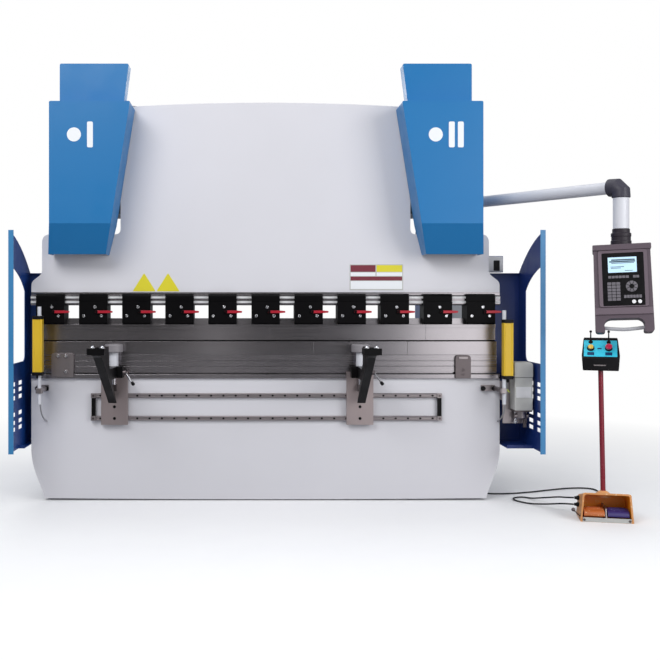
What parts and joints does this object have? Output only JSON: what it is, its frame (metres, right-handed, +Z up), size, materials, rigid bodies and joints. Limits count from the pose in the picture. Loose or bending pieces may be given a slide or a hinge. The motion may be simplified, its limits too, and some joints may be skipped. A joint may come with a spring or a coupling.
{
  "type": "press brake",
  "caption": "Hydraulic press brake: blue C-frame and covers, white ram and table, quick clamps over a V die, side guards, sheet supports, control pendant and foot switch on cords.",
  "frame": {"origin": "on the floor, in the middle of the footprint of everything but the two cords", "axes": "+X along the bed to the operator's right, +Y from the operator's side to the back, +Z up"},
  "size_m": [3.1611, 1.929, 2.311],
  "materials": {
    "white_paint": "satin off-white powder coat, faint orange peel",
    "blue_paint": "semi-gloss mid-blue powder coat",
    "guard_blue": "satin blue powder coat",
    "tool_steel": "ground tool steel, fine lengthwise lines",
    "machined_steel": "machined and lightly oiled",
    "rod_chrome": "hard chrome",
    "clamp_black": "black oxide, satin",
    "lever_red": "moulded red plastic",
    "cylinder_black": "black enamel",
    "unit_grey": "grey enamel",
    "curtain_yellow": "yellow painted extrusion with black end caps",
    "lubricator_grey": "grey enamel, slightly dusty",
    "track_steel": "ground guide rail",
    "carriage_steel": "dark machined plate",
    "arm_black": "black satin paint",
    "arm_tube": "satin anodised tube with dark elbow",
    "pendant_grey": "warm grey moulded housing",
    "switch_orange": "orange enamel, worn edges",
    "pedal_orange": "ribbed orange treadle",
    "pedal_violet": "ribbed violet treadle",
    "pole_maroon": "dark red enamel",
    "control_black": "black box with a cyan sloping face",
    "button_yellow": "yellow push button",
    "button_red": "red mushroom button",
    "stalk_black": "black knobs on thin stalks",
    "cabinet_grey": "light grey powder coat",
    "gauge_steel": "machined steel",
    "cord_black": "black rubber sheath"
  },
  "bodies": {
    "machine": {"side_frame_left": "blue_paint", "side_frame_right": "blue_paint", "table_beam": "white_paint", "bed_plate": "machined_steel", "die_rail": "tool_steel", "die_block": "tool_steel", "die_stop_left": "machined_steel", "die_stop_right": "machined_steel", "cylinder_left": "cylinder_black", "cylinder_right": "cylinder_black", "cylinder_cover_left": "blue_paint", "cylinder_cover_right": "blue_paint", "valve_hood_left": "blue_paint", "valve_hood_right": "blue_paint", "hydraulic_unit": "unit_grey", "light_curtain_left": "curtain_yellow", "light_curtain_right": "curtain_yellow", "lubricator": "lubricator_grey", "support_track": "track_steel", "electrical_cabinet": "cabinet_grey", "backgauge_guide": "gauge_steel", "pedal_housing": "switch_orange", "stand_pole": "pole_maroon", "control_box": "control_black", "pedal_cable": "cord_black", "loop_cable": "cord_black"},
    "ram": {"ram_beam": "white_paint", "clamp_rail": "clamp_black", "punch": "tool_steel", "piston_rod_left": "rod_chrome", "piston_rod_right": "rod_chrome"},
    "lever_01": {"clamp_lever_01": "lever_red"},
    "lever_02": {"clamp_lever_02": "lever_red"},
    "lever_03": {"clamp_lever_03": "lever_red"},
    "lever_04": {"clamp_lever_04": "lever_red"},
    "lever_05": {"clamp_lever_05": "lever_red"},
    "lever_06": {"clamp_lever_06": "lever_red"},
    "lever_07": {"clamp_lever_07": "lever_red"},
    "lever_08": {"clamp_lever_08": "lever_red"},
    "lever_09": {"clamp_lever_09": "lever_red"},
    "lever_10": {"clamp_lever_10": "lever_red"},
    "lever_11": {"clamp_lever_11": "lever_red"},
    "carriage_left": {"support_carriage_left": "carriage_steel"},
    "support_left": {"support_arm_left": "arm_black"},
    "carriage_right": {"support_carriage_right": "carriage_steel"},
    "support_right": {"support_arm_right": "arm_black"},
    "pendant_arm_body": {"pendant_arm": "arm_tube"},
    "pendant_body": {"pendant_housing": "pendant_grey"},
    "guard_left": {"side_guard_left": "guard_blue"},
    "guard_right": {"side_guard_right": "guard_blue"},
    "pedal_body_left": {"pedal_left": "pedal_orange"},
    "pedal_body_right": {"pedal_right": "pedal_violet"},
    "start_button_body": {"start_button": "button_yellow"},
    "stop_button_body": {"stop_button": "button_red"},
    "stalk_left": {"stalk_lever_left": "stalk_black"},
    "stalk_right": {"stalk_lever_right": "stalk_black"},
    "gauge_beam": {"backgauge_beam": "gauge_steel"},
    "gauge_finger_left": {"backgauge_finger_left": "gauge_steel"},
    "gauge_finger_right": {"backgauge_finger_right": "gauge_steel"},
    "cabinet_door_body": {"cabinet_door": "cabinet_grey"}
  },
  "joints": [
    {"name": "ram_slide", "type": "slide", "parent": "machine", "child": "ram", "axis": [0, 0, 1], "range_m": [0, 0.12]},
    {"name": "clamp_lever_01_turn", "type": "hinge", "parent": "ram", "child": "lever_01", "pos_m": [-1.38921, -0.33077, 1.009], "axis": [0, -1, 0], "range_deg": [0, 90]},
    {"name": "clamp_lever_02_turn", "type": "hinge", "parent": "ram", "child": "lever_02", "pos_m": [-1.16071, -0.33077, 1.009], "axis": [0, -1, 0], "range_deg": [0, 90]},
    {"name": "clamp_lever_03_turn", "type": "hinge", "parent": "ram", "child": "lever_03", "pos_m": [-0.93221, -0.33077, 1.009], "axis": [0, -1, 0], "range_deg": [0, 90]},
    {"name": "clamp_lever_04_turn", "type": "hinge", "parent": "ram", "child": "lever_04", "pos_m": [-0.70371, -0.33077, 1.009], "axis": [0, -1, 0], "range_deg": [0, 90]},
    {"name": "clamp_lever_05_turn", "type": "hinge", "parent": "ram", "child": "lever_05", "pos_m": [-0.47521, -0.33077, 1.009], "axis": [0, -1, 0], "range_deg": [0, 90]},
    {"name": "clamp_lever_06_turn", "type": "hinge", "parent": "ram", "child": "lever_06", "pos_m": [-0.24671, -0.33077, 1.009], "axis": [0, -1, 0], "range_deg": [0, 90]},
    {"name": "clamp_lever_07_turn", "type": "hinge", "parent": "ram", "child": "lever_07", "pos_m": [-0.01821, -0.33077, 1.009], "axis": [0, -1, 0], "range_deg": [0, 90]},
    {"name": "clamp_lever_08_turn", "type": "hinge", "parent": "ram", "child": "lever_08", "pos_m": [0.21029, -0.33077, 1.009], "axis": [0, -1, 0], "range_deg": [0, 90]},
    {"name": "clamp_lever_09_turn", "type": "hinge", "parent": "ram", "child": "lever_09", "pos_m": [0.43879, -0.33077, 1.009], "axis": [0, -1, 0], "range_deg": [0, 90]},
    {"name": "clamp_lever_10_turn", "type": "hinge", "parent": "ram", "child": "lever_10", "pos_m": [0.66729, -0.33077, 1.009], "axis": [0, -1, 0], "range_deg": [0, 90]},
    {"name": "clamp_lever_11_turn", "type": "hinge", "parent": "ram", "child": "lever_11", "pos_m": [0.89579, -0.33077, 1.009], "axis": [0, -1, 0], "range_deg": [0, 90]},
    {"name": "support_left_slide", "type": "slide", "parent": "machine", "child": "carriage_left", "axis": [1, 0, 0], "range_m": [-0.03, 0.5]},
    {"name": "support_left_lift", "type": "slide", "parent": "carriage_left", "child": "support_left", "axis": [0, 0, 1], "range_m": [-0.025, 0.06]},
    {"name": "support_right_slide", "type": "slide", "parent": "machine", "child": "carriage_right", "axis": [1, 0, 0], "range_m": [-0.55, 0.34]},
    {"name": "support_right_lift", "type": "slide", "parent": "carriage_right", "child": "support_right", "axis": [0, 0, 1], "range_m": [-0.025, 0.06]},
    {"name": "pendant_arm_swing", "type": "hinge", "parent": "machine", "child": "pendant_arm_body", "pos_m": [0.86329, -0.04547, 1.6], "axis": [0, 0, 1], "range_deg": [-25, 60]},
    {"name": "pendant_swivel", "type": "hinge", "parent": "pendant_arm_body", "child": "pendant_body", "pos_m": [1.42329, -0.81847, 1.4], "axis": [0, 0, 1], "range_deg": [-60, 60]},
    {"name": "guard_left_hinge", "type": "hinge", "parent": "machine", "child": "guard_left", "pos_m": [-1.36071, -0.12747, 0.75], "axis": [0, 0, -1], "range_deg": [0, 85]},
    {"name": "guard_right_hinge", "type": "hinge", "parent": "machine", "child": "guard_right", "pos_m": [0.82729, -0.12747, 0.75], "axis": [0, 0, 1], "range_deg": [0, 85]},
    {"name": "pedal_left_press", "type": "hinge", "parent": "machine", "child": "pedal_body_left", "pos_m": [1.39329, -0.67047, 0.042], "axis": [0.9781, -0.2079, 0], "range_deg": [0, 7], "stiffness_Nm_per_rad": 6, "springref_deg": -8.59},
    {"name": "pedal_right_press", "type": "hinge", "parent": "machine", "child": "pedal_body_right", "pos_m": [1.39329, -0.67047, 0.042], "axis": [0.9781, -0.2079, 0], "range_deg": [0, 7], "stiffness_Nm_per_rad": 6, "springref_deg": -8.59},
    {"name": "start_button_press", "type": "slide", "parent": "machine", "child": "start_button_body", "axis": [0.2744, 0.7539, -0.597], "range_m": [0, 0.004], "stiffness_N_per_m": 250, "springref_m": -0.004},
    {"name": "stop_button_press", "type": "slide", "parent": "machine", "child": "stop_button_body", "axis": [0.2744, 0.7539, -0.597], "range_m": [0, 0.004]},
    {"name": "stalk_left_tilt", "type": "hinge", "parent": "machine", "child": "stalk_left", "pos_m": [1.33583, -0.66087, 0.86835], "axis": [0.9397, -0.342, 0], "range_deg": [-15, 15]},
    {"name": "stalk_right_tilt", "type": "hinge", "parent": "machine", "child": "stalk_right", "pos_m": [1.41383, -0.68926, 0.86835], "axis": [0.9397, -0.342, 0], "range_deg": [-15, 15]},
    {"name": "backgauge_travel", "type": "slide", "parent": "machine", "child": "gauge_beam", "axis": [0, 1, 0], "range_m": [-0.19, 0.3]},
    {"name": "finger_left_slide", "type": "slide", "parent": "gauge_beam", "child": "gauge_finger_left", "axis": [1, 0, 0], "range_m": [-0.35, 0.35]},
    {"name": "finger_right_slide", "type": "slide", "parent": "gauge_beam", "child": "gauge_finger_right", "axis": [1, 0, 0], "range_m": [-0.35, 0.35]},
    {"name": "cabinet_door_hinge", "type": "hinge", "parent": "machine", "child": "cabinet_door_body", "pos_m": [1.07529, 0.92053, 0.75], "axis": [0, 0, 1], "range_deg": [0, 110]}
  ]
}
